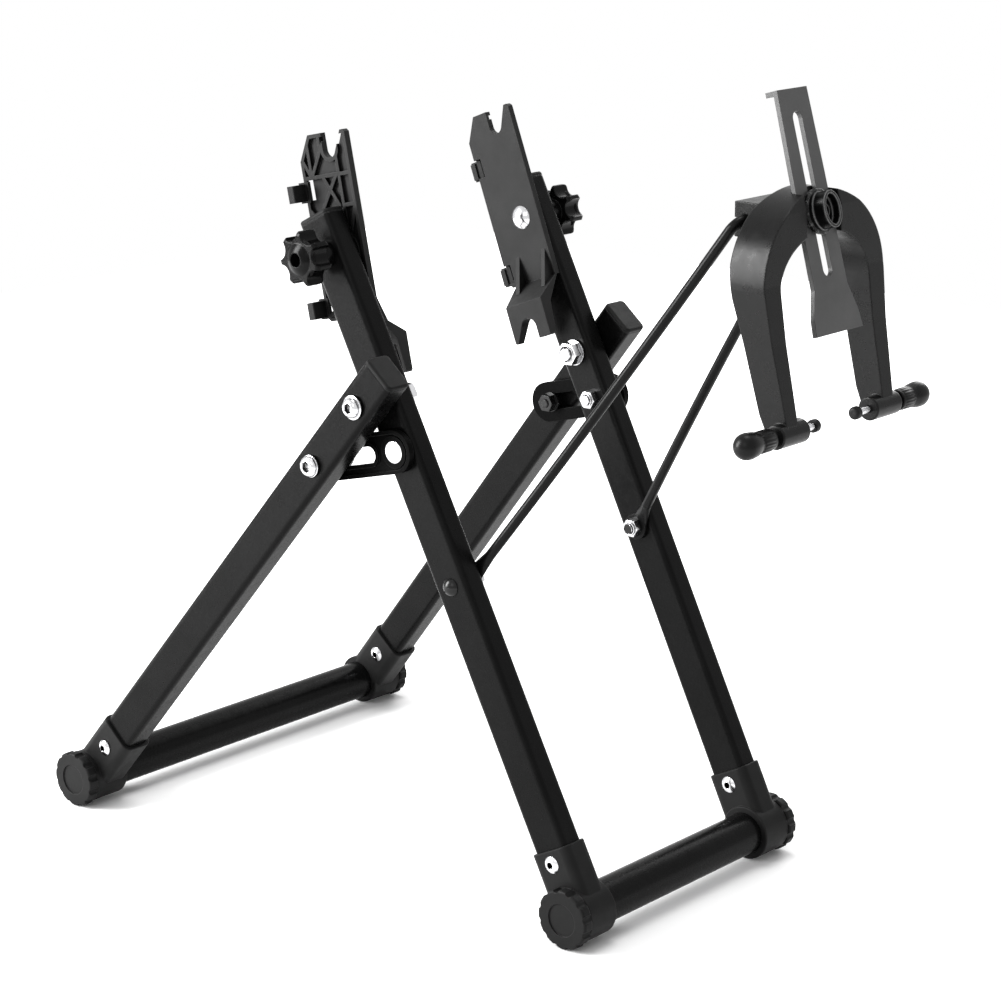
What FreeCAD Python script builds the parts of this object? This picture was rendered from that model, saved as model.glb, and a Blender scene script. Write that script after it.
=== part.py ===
"""Folding bicycle wheel truing stand, in millimetres.

X runs along the wheel axle, the gauge arm is at -Y, the floor is z = 0.
Every paired piece is drawn on the right (+X) and mirrored to the left.
"""
import FreeCAD, Part
import math
import os

V = FreeCAD.Vector
X_AXIS = V(1, 0, 0)
Y_AXIS = V(0, 1, 0)
Z_AXIS = V(0, 0, 1)

# ---- widths, all from the wheel hub -----------------------------------------
HUB_HALF = 74.0           # half of the 148 mm gap between the upper axle slots
SEAT_HALF = 55.0          # half of the 110 mm gap between the lower axle notches
FRONT_OUT = 11.5          # front leg centre outboard of the hub gap, at the pivot
FRONT_TOE = 3.8           # front legs draw in by this much towards the foot
REAR_OUT = 20.45          # rear leg centre outboard of the front one, at the pivot
REAR_SPLAY = 18.45        # rear legs spread by this much towards the foot
FRONT_CAP = 18.2          # outer face of the end cap outboard of the leg foot
REAR_CAP = 20.4
LINK_OUTBOARD = 8.4       # inner face of the link outboard of the front leg centre
LINK_T = 3.8
FRONT_X_PIVOT = HUB_HALF + FRONT_OUT
FRONT_X_FOOT = FRONT_X_PIVOT - FRONT_TOE
REAR_X_PIVOT = FRONT_X_PIVOT + REAR_OUT
REAR_X_FOOT = REAR_X_PIVOT + REAR_SPLAY
FRONT_CAP_X = FRONT_X_FOOT + FRONT_CAP
REAR_CAP_X = REAR_X_FOOT + REAR_CAP
LINK_IN = FRONT_X_PIVOT + LINK_OUTBOARD
LINK_OUT = LINK_IN + LINK_T

# ---- frame ------------------------------------------------------------------
PIVOT_Y = 5.5             # leg pivot, measured from the middle of the footprint
PIVOT_Z = 293.1
FOOT_RADIUS = 17.65       # scalloped end caps stand on the floor
FRONT_REACH = 143.5       # pivot to front cross tube, along Y
REAR_REACH = 227.8
TUBE_RADIUS = 12.7        # round cross tubes
TUBE_WALL = 1.5
LEG_WALL = 1.5
LEG_CORNER = 3.2
FRONT_DEPTH = 24.6        # leg section seen from the side
FRONT_WIDTH = 15.4        # leg section along X
REAR_DEPTH = 23.8
REAR_WIDTH = 17.4
FRONT_TOP = 113.4         # leg length past the pivot
REAR_TOP = 28.0
LEG_START = 14.2          # legs stop short of the cross tube
PLUG_FLANGE = 2.4
PLUG_INSERT = 10.0
PLUG_ROUND = 1.6
SLEEVE_WALL = 2.2         # moulded corner connectors
FRONT_SLEEVE = 38.5
REAR_SLEEVE = 45.0
BARREL_RADIUS = 16.5
BARREL_INNER = 11.0       # barrel reach inboard of the leg centre
CAP_THICK = 7.0
CAP_SPIGOT = 12.0
CAP_LOBES = 12
CAP_GROOVE = 2.6          # radius of the rim scallops
CAP_GROOVE_OUT = 1.04     # their centres beyond the rim
CAP_DISH_R = 9.7075
CAP_ROUND = 1.5
RIVET_HEIGHT = 30.5       # rivet above the foot axis, along the leg
RIVET_RADIUS = 5.2
RIVET_HEAD = 1.9
RIVET_EYE = 2.0
EDGE = 0.8                # small edge rounding on moulded and turned pieces

# ---- fits and fasteners -----------------------------------------------------
RUN = 0.05                # radial clearance of a turning fit
BOLT_R = 4.0              # M8 bolts
NUT_FLATS = 13.0
NUT_THICK = 6.5
WASHER_R = 8.0
WASHER_T = 1.4
THREAD_OUT = 2.0          # thread standing out of a nut
SMALL_R = 3.0             # M6 bolts
SMALL_FLATS = 10.0
SMALL_NUT = 5.0
SMALL_HEAD_R = 5.6
SMALL_HEAD_T = 3.4
STOP_HEAD_R = 6.8

# ---- fold linkage -----------------------------------------------------------
LINK_DROP = 30.5          # link bolt below the pivot on the front leg
STOP_DROP = 51.0          # slot bolt below the pivot on the rear leg
LINK_RADIUS = 12.6
LINK_SPAN = 52.0          # between the centres of the rounded ends
LINK_FLOOR = 1.4          # depth of the sunk field inside the raised rim
LINK_RIM = 2.2
LINK_SLOT = 10.0
LINK_SLOT_NEAR = 20.0     # inner slot end, measured from the link bolt
LINK_BOSS_R = 9.4
LINK_HEAD_R = 6.6
LINK_HEAD_T = 1.9
PIN_R = 2.8               # shank of the slot bolt
PIN_WASHER_R = 6.2

# ---- dropout brackets -------------------------------------------------------
CLAMP_UP = 89.4           # clamp bolt above the pivot, on the front leg axis
LEAN_RIGHT = 21.4         # how far each bracket is set back from upright
LEAN_LEFT = 12.5
BRACKET_GAP = 0.95        # ribs to leg, so that only the clamp pad touches
PLATE_T = 1.9
RIB_W = 2.2
FLANGE_T = 8.4            # at the ramp, drafted down to FOOT_T
FOOT_T = 5.2
FLANGE_FLOOR = 2.6
BRACKET_FRONT = -14.8     # bracket outline, from the clamp bolt
BRACKET_REAR = 25.0
BRACKET_TOP = 68.6
FLANGE_REAR = 15.2
RAMP_TOP = -39.5
RAMP_FOOT = -51.5
RAMP_LAP = 4.0            # height of the ramp that lies on the upper plate
RAMP_STEP = 3.0           # thicker part at each end of the ramp
BRACKET_FOOT = -75.0
AXLE_SLOT = 10.0
AXLE_AT = (-0.1, 58.7)    # centre of the round slot bottom
THRU_SLOT = 12.4
THRU_AT = (1.0, -67.5)
SLOT_LEAD = 6.6           # flared lead-in on one side of each slot
PAD_R = 11.5
TAB_DEPTH = 5.5
TAB_HEIGHT = 10.0
TAB_UP = 31.3             # lower ends of the two stop tabs
TAB_LOW = -36.8
TAB_REACH = 14.0          # tabs stand this far out of the inner face, beside the leg
TAB_ROOM = 0.35
TAB_NOTCH = 5.6           # clear opening in the plate behind each tab
TAB_NOTCH_UP = 1.6
RIB_INSET = 1.0           # rib ends lie this far inside the outline
RIB_HIGH = 44.0           # cross ribs on the back of the bracket, from the clamp bolt
RIB_MID = 26.0
RIB_LOW = -16.0
RIB_POST = -4.6
RIB_FAN = 17.8
RIB_LEAD = 7.6
RIB_LEAD_DROP = 10.0
RIB_X_TOP = (9.0, -2.5)   # upper and lower ends of the crossed pair
RIB_X_FOOT = (-1.5, 12.0)
RIB_STRUT_REAR = (8.0, 8.0)
RIB_STRUT_FRONT = (-6.0, 8.0)
RIB_FAN_DROP = 13.0
RIB_POST_DROP = 15.0
PLATE_CHAMFER = (9.2, 14.5)
CORNER = 1.5              # small cut corners of the outline
DOME_R = 7.4
DOME_H = 3.4
GUSSET_T = 3.0
GUSSET_AT = (-10.6, 11.5)
GUSSET_RISE = 17.0
GUSSET_RUN = 9.2          # how far the gusset runs down the ramp, inboard and down
GUSSET_SINK = 5.6
STAR_R = 16.0
STAR_LOBES = 7
STAR_FLUTE = 6.2          # radius of the finger hollows, and of the circle they lie on
STAR_FLUTE_AT = 17.1
STAR_NECK = 9.0
STAR_NECK_R = 8.0
STAR_THICK = 12.5
STAR_ROUND = 2.6
STAR_FACE_R = 12.0
STAR_CAP = 3.0
STAR_EYE_DEPTH = 5.0

# ---- gauge arm --------------------------------------------------------------
ARM_DROP = 113.5          # eyes below the pivot on the front leg
ARM_LEAN = 34.4
ARM_LENGTH = 265.0
ROD_R = 3.0
ARM_MID_UP = 106.0        # where the bow of the side rods is measured
ARM_BOW = 2.808           # how far the side rods bow inward there
ARM_END = (31.6, 256.0)
ARM_BEND = 8.0
EYE_R = 8.0
EYE_T = 2.6
EYE_NECK = 20.0           # the flat eye has become round rod here

# ---- gauge head, measured from the crossbar of the arm ----------------------
YOKE_OUTER = 54.0         # widest half width of the horseshoe, and its height there
YOKE_OUTER_Z = -31.0
YOKE_CROWN = 48.5         # rise of the outer crown above that height
YOKE_INNER = 40.0
YOKE_INNER_Z = -33.0
YOKE_VAULT = 28.5         # rise of the inner crown
YOKE_HALF = 48.5          # half width at the leg ends
YOKE_GAP = 38.0
YOKE_DROP = 104.1
YOKE_TOP = 17.5
YOKE_FRONT_LINE = [(-50.5, -YOKE_DROP), (-41.0, -58.0), (-36.5, -28.0), (-34.5, 8.0),
                   (-31.0, YOKE_TOP)]     # side outline, (y, z) up the front
YOKE_REAR_LINE = [(-14.0, YOKE_TOP), (-11.5, 8.0), (-12.8, -18.0), (-15.8, -36.0),
                  (-22.5, -59.0), (-31.8, -96.0), (-35.3, -YOKE_DROP)]
SCREW_Y = -45.8
SCREW_Z = -105.1
SCREW_R = 2.0             # M4 feeler screws
BOSS_R = 6.6
BOSS_IN = 31.0
BOSS_OUT = 54.5
TIP_IN = 16.4
TIP_OUT = 20.6
TIP_SOCKET = 2.6
TIP_R = 3.6
KNOB_IN = 58.2
KNOB_OUT = 85.6
KNOB_R = 7.2
KNOB_DOME = 5.76          # height of the round end
KNOB_SOCKET = 8.0
BLOCK_HALF = 23.0         # rear block that grips the crossbar
BLOCK_DEPTH = 7.6
BLOCK_ROOT = 14.0         # reaches this far into the crown
BLOCK_RISE = 9.5
BLOCK_SLIT = 1.6
GAUGE_TILT = 16.0
GAUGE_Y = -26.8           # clamp bolt, on the back of the gauge plate
GAUGE_Z = 3.9
GAUGE_T = 2.8
GAUGE_TOP = 66.0
GAUGE_FOOT = -64.4
GAUGE_HALF = 14.2
GAUGE_TOP_HALF = 13.1
GAUGE_FOOT_HALF = 21.0
GAUGE_FLARE = -40.0
GAUGE_SPREAD = 15.0       # height of the flare
GAUGE_SHOULDER = 20.0
GAUGE_WAIST = 0.6
GAUGE_SLOT = 8.2
SLOT_HIGH = 54.0
SLOT_LOW = -34.5
GAUGE_LIP = 5.0
BOLT_HEAD_AT = 5.0        # wall of the crown between plate and bolt head
BOLT_HEAD_T = 3.4
CHANNEL_SIDE = 1.0        # room beside the plate in the crown channel
GRIP_R = 12.2             # thumb knob
GRIP_OVAL = (7.6, 10.0)   # half width and half height of the grip
GRIP_WALL = 1.8
GRIP_CUP = 5.0            # depth of the hollow face
GRIP_BASE = 3.4
GRIP_LENGTH = 11.0
GRIP_FLUTES = 12
SNUG = 0.03               # clearance of a seated fit


# ---- small builders ---------------------------------------------------------
def box(x0, x1, y0, y1, z0, z1):
    return Part.makeBox(x1 - x0, y1 - y0, z1 - z0, V(x0, y0, z0))


def across(x0, x1, y, z, radius):
    """Cylinder along X."""
    return Part.makeCylinder(radius, x1 - x0, V(x0, y, z), X_AXIS)


def slab(points, x0, x1):
    """Polygon of (y, z) points, thick from x0 to x1."""
    corners = [V(x0, y, z) for y, z in points]
    return Part.Face(Part.makePolygon(corners + corners[:1])).extrude(V(x1 - x0, 0, 0))


def strip(points, y0, y1):
    """Polygon of (x, z) points, thick from y0 to y1."""
    corners = [V(x, y0, z) for x, z in points]
    return Part.Face(Part.makePolygon(corners + corners[:1])).extrude(V(0, y1 - y0, 0))


def bar(start, end, width, x0, x1):
    """Straight rib between two (y, z) points, with round ends."""
    run_y = end[0] - start[0]
    run_z = end[1] - start[1]
    scale = width / 2 / math.hypot(run_y, run_z)
    side_y = -run_z * scale
    side_z = run_y * scale
    corners = [(start[0] + side_y, start[1] + side_z), (start[0] - side_y, start[1] - side_z),
               (end[0] - side_y, end[1] - side_z), (end[0] + side_y, end[1] + side_z)]
    ends = [across(x0, x1, y, z, width / 2) for y, z in (start, end)]
    return slab(corners, x0, x1).multiFuse(ends)


def round_rims(shape, radius):
    """Round every circular edge of a turned piece."""
    rims = [edge for edge in shape.Edges if edge.Curve.TypeId == "Part::GeomCircle"]
    return shape.makeFillet(radius, rims)


def hexagon(x0, x1, y, z, flats):
    """Hexagon along X with its corners turned down."""
    corner = flats / math.sqrt(3)
    angles = [math.radians(60 * k) for k in range(6)]
    sides = slab([(y + corner * math.cos(a), z + corner * math.sin(a)) for a in angles], x0, x1)
    turned = round_rims(across(x0, x1, y, z, corner), corner * 0.12)
    return sides.common(turned)


def dome(x0, x1, y, z, radius):
    """Low spherical head: flat face at x0, top at x1."""
    height = abs(x1 - x0)
    ball = (radius * radius + height * height) / (2 * height)
    side = 1 if x1 > x0 else -1
    centre = x1 - side * ball
    blank = across(min(x0, x1), max(x0, x1), y, z, radius)
    return blank.common(Part.makeSphere(ball, V(centre, y, z)))


def rounded_rect(centre, width, depth, corner):
    """Wire in the XY plane with round corners."""
    flat_x = width / 2 - corner
    flat_y = depth / 2 - corner
    arcs = []
    for side_x, side_y, turn in ((1, 1, 0), (-1, 1, 90), (-1, -1, 180), (1, -1, 270)):
        circle = Part.Circle(centre + V(side_x * flat_x, side_y * flat_y, 0), Z_AXIS, corner)
        arcs.append(Part.Arc(circle, math.radians(turn), math.radians(turn + 90)))
    edges = []
    for k, arc in enumerate(arcs):
        edges.append(arc.toShape())
        edges.append(Part.LineSegment(arc.EndPoint, arcs[(k + 1) % 4].StartPoint).toShape())
    return Part.Wire(edges)


def fuse(shapes):
    return shapes[0].multiFuse(shapes[1:]).removeSplitter()


def tilted(shape, origin, degrees):
    """Turn a shape about X and put it at origin."""
    return shape.transformed(FreeCAD.Placement(origin, FreeCAD.Rotation(X_AXIS, degrees)).toMatrix())


# ---- legs -------------------------------------------------------------------
class Leg:
    """A splayed rectangular leg. Its frame has Z up the leg and the pivot at z = 0."""

    def __init__(self, reach, lean, section, x_foot, x_pivot, top, cap_x, sleeve):
        rise = PIVOT_Z - FOOT_RADIUS
        self.length = math.hypot(reach, rise)
        self.angle = lean * math.degrees(math.atan2(reach, rise))
        self.width, self.depth = section
        self.x_pivot = x_pivot
        self.slope = (x_pivot - x_foot) / self.length
        self.top = top
        self.cap_x = cap_x
        self.sleeve = sleeve

    def centre(self, z):
        return self.x_pivot + self.slope * z

    def outer(self, z):
        return self.centre(z) + self.width / 2

    def inner(self, z):
        return self.centre(z) - self.width / 2

    def seat(self, radius):
        """Room that a flat disc needs beside the splayed face."""
        return radius * abs(self.slope) + RUN

    def prism(self, z0, z1, grow):
        """Leg section from z0 to z1, grown or shrunk all round."""
        start = V(self.centre(z0), 0, z0)
        corner = max(LEG_CORNER + grow, LEG_WALL)
        wire = rounded_rect(start, self.width + 2 * grow, self.depth + 2 * grow, corner)
        return Part.Face(wire).extrude(V(self.slope * (z1 - z0), 0, z1 - z0))

    def place(self, shape):
        return tilted(shape, V(0, PIVOT_Y, PIVOT_Z), self.angle)

    def point(self, z):
        """World (y, z) of a bolt on the leg axis."""
        spot = FreeCAD.Rotation(X_AXIS, self.angle).multVec(V(0, 0, z))
        return PIVOT_Y + spot.y, PIVOT_Z + spot.z


FRONT = Leg(FRONT_REACH, -1, (FRONT_WIDTH, FRONT_DEPTH), FRONT_X_FOOT, FRONT_X_PIVOT,
            FRONT_TOP, FRONT_CAP_X, FRONT_SLEEVE)
REAR = Leg(REAR_REACH, 1, (REAR_WIDTH, REAR_DEPTH), REAR_X_FOOT, REAR_X_PIVOT,
           REAR_TOP, REAR_CAP_X, REAR_SLEEVE)
PIVOT = (PIVOT_Y, PIVOT_Z)
LINK_AT = FRONT.point(-LINK_DROP)
STOP_AT = REAR.point(-STOP_DROP)
ARM_AT = FRONT.point(-ARM_DROP)
CLAMP_AT = FRONT.point(CLAMP_UP)
RIB_OUT = FRONT.inner(CLAMP_UP) - BRACKET_GAP
STAR_X = FRONT.outer(CLAMP_UP) + FRONT.seat(STAR_R)
EYE_X = FRONT.inner(-ARM_DROP) - FRONT.seat(EYE_R) - EYE_T / 2
ARM_MID_X = EYE_X + (ARM_END[0] - EYE_X) * ARM_MID_UP / ARM_END[1] - ARM_BOW
CROSSBAR = (ARM_AT[0] - ARM_LENGTH * math.sin(math.radians(ARM_LEAN)),
            ARM_AT[1] + ARM_LENGTH * math.cos(math.radians(ARM_LEAN)))


def leg_tube(leg, holes):
    """Hollow leg with its cross bores: a list of ((y, z), radius)."""
    outer = leg.prism(-leg.length + LEG_START, leg.top - PLUG_FLANGE, 0)
    inner = leg.prism(-leg.length, leg.top + PLUG_FLANGE, -LEG_WALL)
    bores = [across(0, 2 * leg.x_pivot, y, z, radius) for (y, z), radius in holes]
    rivet = leg.point(RIVET_HEIGHT - leg.length)
    bores.append(across(0, 2 * leg.x_pivot, rivet[0], rivet[1], SMALL_R + SNUG))
    return leg.place(outer.cut(inner)).cut(bores)


def leg_plug(leg):
    base = leg.top - PLUG_FLANGE
    lid = leg.prism(base, leg.top, 0)
    top_edges = [edge for edge in lid.Edges if edge.BoundBox.ZMin > leg.top - EDGE]
    lid = lid.makeFillet(PLUG_ROUND, top_edges)
    insert = leg.prism(base - PLUG_INSERT, base, -LEG_WALL - SNUG)
    return leg.place(fuse([lid, insert]))


def tee(leg):
    """Moulded connector: barrel round the cross tube, sleeve round the leg foot."""
    foot = -leg.length
    x_foot = leg.centre(foot)
    sleeve = leg.prism(foot, foot + leg.sleeve, SLEEVE_WALL)
    rim = [edge for edge in sleeve.Edges if edge.BoundBox.ZMin > foot + leg.sleeve - EDGE]
    sleeve = sleeve.makeFillet(EDGE, rim)
    barrel = across(x_foot - BARREL_INNER, leg.cap_x - CAP_THICK, 0, foot, BARREL_RADIUS)
    body = fuse([sleeve, round_rims(barrel, EDGE)])
    socket = leg.prism(foot + LEG_START, foot + 2 * leg.sleeve, SNUG)
    bore = across(0, leg.cap_x, 0, foot, TUBE_RADIUS + SNUG)
    rivet = across(0, leg.cap_x, 0, foot + RIVET_HEIGHT, SMALL_R + SNUG)
    return leg.place(body.cut([socket, bore, rivet]))


def cross_tube(leg):
    y, z = leg.point(-leg.length)
    end = leg.cap_x - CAP_THICK - EDGE
    outer = across(-end, end, y, z, TUBE_RADIUS)
    return outer.cut(across(-end, end, y, z, TUBE_RADIUS - TUBE_WALL))


def end_cap(leg):
    """Scalloped foot cap pressed into the cross tube."""
    y, z = leg.point(-leg.length)
    inner = leg.cap_x - CAP_THICK
    disc = round_rims(across(inner + SNUG, leg.cap_x, y, z, FOOT_RADIUS), CAP_ROUND)
    dish = across(leg.cap_x - EDGE, leg.cap_x, y, z, CAP_DISH_R)
    spigot = across(inner - CAP_SPIGOT, inner + 1, y, z, TUBE_RADIUS - TUBE_WALL - SNUG)
    grooves = []
    for k in range(CAP_LOBES):
        angle = math.radians((k + 0.5) * 360 / CAP_LOBES)
        reach = FOOT_RADIUS + CAP_GROOVE_OUT
        spot = (y + reach * math.cos(angle), z + reach * math.sin(angle))
        grooves.append(across(inner, leg.cap_x, spot[0], spot[1], CAP_GROOVE))
    return fuse([disc.cut(grooves + [dish]), spigot])


def rivet(leg):
    """Tubular rivet through sleeve and leg."""
    z = RIVET_HEIGHT - leg.length
    y_at, z_at = leg.point(z)
    room = SLEEVE_WALL + leg.seat(RIVET_RADIUS)
    x0 = leg.inner(z) - room
    x1 = leg.outer(z) + room
    shank = across(x0, x1, y_at, z_at, SMALL_R)
    heads = [dome(x0, x0 - RIVET_HEAD, y_at, z_at, RIVET_RADIUS),
             dome(x1, x1 + RIVET_HEAD, y_at, z_at, RIVET_RADIUS)]
    eye = across(x0 - RIVET_HEAD, x1 + RIVET_HEAD, y_at, z_at, RIVET_EYE)
    return fuse([shank] + heads).cut(eye)


# ---- pivot and linkage ------------------------------------------------------
def pivot_bolt():
    y, z = PIVOT
    nut_face = FRONT.inner(0) - FRONT.seat(WASHER_R)
    head_face = REAR.outer(0) + REAR.seat(WASHER_R)
    shank = across(nut_face - WASHER_T - NUT_THICK - THREAD_OUT, head_face, y, z, BOLT_R)
    washer = across(head_face, head_face + WASHER_T, y, z, WASHER_R)
    head = hexagon(head_face + WASHER_T, head_face + WASHER_T + NUT_THICK, y, z, NUT_FLATS)
    return fuse([shank, washer, head])


def pivot_nut():
    y, z = PIVOT
    face = FRONT.inner(0) - FRONT.seat(WASHER_R)
    washer = across(face - WASHER_T, face, y, z, WASHER_R)
    nut = hexagon(face - WASHER_T - NUT_THICK, face - WASHER_T, y, z, NUT_FLATS)
    return fuse([washer, nut]).cut(across(0, face, y, z, BOLT_R + SNUG))


def pivot_spacer():
    y, z = PIVOT
    x0 = FRONT.outer(0) + FRONT.seat(WASHER_R)
    x1 = REAR.inner(0) - REAR.seat(WASHER_R)
    return across(x0, x1, y, z, WASHER_R).cut(across(x0, x1, y, z, BOLT_R + RUN))


def link_bolt():
    """Holds the stay link on the front leg, with a flush outer head."""
    y, z = LINK_AT
    face = FRONT.inner(-LINK_DROP) - FRONT.seat(SMALL_HEAD_R)
    nut = hexagon(face - SMALL_NUT, face, y, z, SMALL_FLATS)
    shank = across(face - SMALL_NUT - THREAD_OUT, LINK_OUT - EDGE, y, z, SMALL_R)
    head = across(LINK_OUT - LINK_HEAD_T, LINK_OUT, y, z, LINK_HEAD_R)
    return fuse([nut, shank, round_rims(head, EDGE / 2)])


def stop_bolt():
    """Bolt of the rear leg that runs in the link slot."""
    y, z = STOP_AT
    face = REAR.outer(-STOP_DROP) + REAR.seat(STOP_HEAD_R)
    end = LINK_IN - RUN - WASHER_T - SMALL_NUT
    shank = across(end - THREAD_OUT / 2, face, y, z, PIN_R)
    head = hexagon(face, face + SMALL_NUT, y, z, STOP_HEAD_R * math.sqrt(3))
    return fuse([shank, head])


def stop_nut():
    y, z = STOP_AT
    face = LINK_IN - 2 * RUN
    washer = across(face - WASHER_T, face, y, z, PIN_WASHER_R)
    nut = hexagon(face - WASHER_T - SMALL_NUT, face - WASHER_T, y, z, SMALL_FLATS)
    return fuse([washer, nut]).cut(across(0, face, y, z, PIN_R + SNUG))


def obround(x0, x1, near, far, radius):
    return bar((near, 0), (far, 0), 2 * radius, x0, x1)


def stay_link():
    """Slotted brace, drawn with its bolt at the origin and the slot along Y."""
    run_y = STOP_AT[0] - LINK_AT[0]
    run_z = STOP_AT[1] - LINK_AT[1]
    reach = math.hypot(run_y, run_z)
    floor = LINK_OUT - LINK_FLOOR
    plate = obround(LINK_IN, LINK_OUT, 0, LINK_SPAN, LINK_RADIUS)
    field = obround(floor, LINK_OUT, 0, LINK_SPAN, LINK_RADIUS - LINK_RIM)
    lip = obround(floor, LINK_OUT, LINK_SLOT_NEAR, reach, LINK_SLOT / 2 + LINK_RIM)
    boss = across(FRONT.outer(-LINK_DROP) + FRONT.seat(LINK_BOSS_R), LINK_OUT, 0, 0, LINK_BOSS_R)
    body = fuse([plate.cut(field), lip, boss])
    slot = obround(LINK_IN, LINK_OUT, LINK_SLOT_NEAR, reach, LINK_SLOT / 2)
    sink = across(LINK_OUT - LINK_HEAD_T - RUN, LINK_OUT, 0, 0, LINK_HEAD_R + RUN)
    bore = across(0, LINK_OUT, 0, 0, SMALL_R + RUN)
    body = body.cut([slot, sink, bore])
    return tilted(body, V(0, LINK_AT[0], LINK_AT[1]), math.degrees(math.atan2(run_z, run_y)))


# ---- dropout brackets -------------------------------------------------------
def bracket_outline():
    cut_y, cut_z = PLATE_CHAMFER
    return [(BRACKET_FRONT, BRACKET_TOP - CORNER), (BRACKET_FRONT + CORNER, BRACKET_TOP),
            (BRACKET_REAR - cut_y, BRACKET_TOP), (BRACKET_REAR, BRACKET_TOP - cut_z),
            (BRACKET_REAR, RAMP_TOP + 2 * CORNER), (BRACKET_REAR - 2 * CORNER, RAMP_TOP),
            (BRACKET_FRONT, RAMP_TOP)]


def flange_outline():
    return [(BRACKET_REAR - RAMP_LAP, RAMP_TOP + RAMP_LAP), (FLANGE_REAR, RAMP_FOOT),
            (FLANGE_REAR, BRACKET_FOOT + 1), (FLANGE_REAR - 1, BRACKET_FOOT),
            (BRACKET_FRONT + 1, BRACKET_FOOT), (BRACKET_FRONT, BRACKET_FOOT + 1),
            (BRACKET_FRONT, RAMP_TOP + RAMP_LAP)]


def bracket_plates():
    """Upper plate, and the ramp with its inboard flange."""
    upper = slab(bracket_outline(), HUB_HALF, HUB_HALF + PLATE_T)
    side = [(HUB_HALF, RAMP_TOP + 1), (HUB_HALF, RAMP_TOP), (SEAT_HALF, RAMP_FOOT),
            (SEAT_HALF, BRACKET_FOOT), (SEAT_HALF + FOOT_T, BRACKET_FOOT),
            (SEAT_HALF + FLANGE_T, RAMP_FOOT - RAMP_STEP), (RIB_OUT, RAMP_TOP + RAMP_STEP),
            (RIB_OUT, RAMP_TOP + RAMP_LAP)]
    width = strip(side, 2 * BRACKET_FRONT, 2 * BRACKET_REAR)
    return [upper, slab(flange_outline(), 0, 2 * HUB_HALF).common(width)]


def flange_pocket(slot):
    """Hollow in the outer side of the flange, with a wall all round and along the slot."""
    top = RAMP_FOOT - 4
    floor = SEAT_HALF + FLANGE_FLOOR
    outline = [(FLANGE_REAR, top), (FLANGE_REAR, BRACKET_FOOT), (BRACKET_FRONT, BRACKET_FOOT),
               (BRACKET_FRONT, top)]
    block = slab(outline, floor, HUB_HALF).cut(slot)
    face = [f for f in block.Faces if f.BoundBox.XMax < floor + EDGE][0]
    return face.makeOffset2D(-RIB_W).extrude(V(HUB_HALF - floor, 0, 0))


def bracket_rib_lines():
    """Stiffening ribs on the outer face, as pairs of (y, z) ends."""
    front = BRACKET_FRONT + RIB_INSET
    rear = BRACKET_REAR - RIB_INSET
    foot = RAMP_TOP + 2 * RIB_INSET
    fan = (RIB_FAN, RIB_HIGH)
    lead = (RIB_LEAD, BRACKET_TOP - RIB_LEAD_DROP)
    post_top = (RIB_POST, BRACKET_TOP - RIB_POST_DROP)
    cross = [((RIB_X_TOP[0], RIB_HIGH), (RIB_X_FOOT[0], RIB_MID)),
             ((RIB_X_TOP[1], RIB_HIGH), (RIB_X_FOOT[1], RIB_MID)),
             ((rear, RIB_LOW), (front, foot)), ((front, RIB_LOW), (rear, foot))]
    level = [((rear, RIB_HIGH), (front, RIB_HIGH)), ((RIB_POST, RIB_MID), (front, RIB_MID)),
             ((rear, RIB_LOW), (front, RIB_LOW))]
    slot_side = [(fan, (rear, BRACKET_TOP - RIB_FAN_DROP)), (fan, (RIB_FAN, BRACKET_TOP)),
                 (fan, lead), ((RIB_LEAD, BRACKET_TOP), lead), (post_top, (RIB_POST, RIB_MID))]
    struts = [((rear, RIB_MID), RIB_STRUT_REAR), ((front, RIB_MID), RIB_STRUT_FRONT),
              ((RIB_POST, RIB_MID), (RIB_POST, 0.0)), ((0.0, 0.0), (0.0, RIB_LOW))]
    return cross + level + slot_side + struts


def slot_cut(at, width, side, mouth):
    """Round-bottomed slot with a flared lead-in: side 1 opens up, -1 opens down."""
    y, z = at
    half = width / 2
    lead = mouth + side
    flank = V(0.92, 0.4)      # where the flared side meets the round bottom
    sides = slab([(y + side * half, z), (y + side * half, lead), (y - side * (half + SLOT_LEAD), lead),
                  (y - side * half * flank.x, z - side * half * flank.y)],
             0, 2 * HUB_HALF)
    return sides.multiFuse([across(0, 2 * HUB_HALF, y, z, half)])


def bracket_tab(near_y, z0):
    out = HUB_HALF + TAB_REACH
    tab = box(HUB_HALF + EDGE, out, near_y, near_y + TAB_DEPTH, z0, z0 + TAB_HEIGHT)
    ends = [edge for edge in tab.Edges if edge.BoundBox.XMin > out - EDGE]
    return tab.makeFillet(EDGE, ends)


def leg_back(z):
    """Back face of the front leg in the frame of the most upright bracket."""
    lean = math.radians(-FRONT.angle - LEAN_LEFT)
    return FRONT_DEPTH / 2 / math.cos(lean) + z * math.tan(lean)


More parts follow.
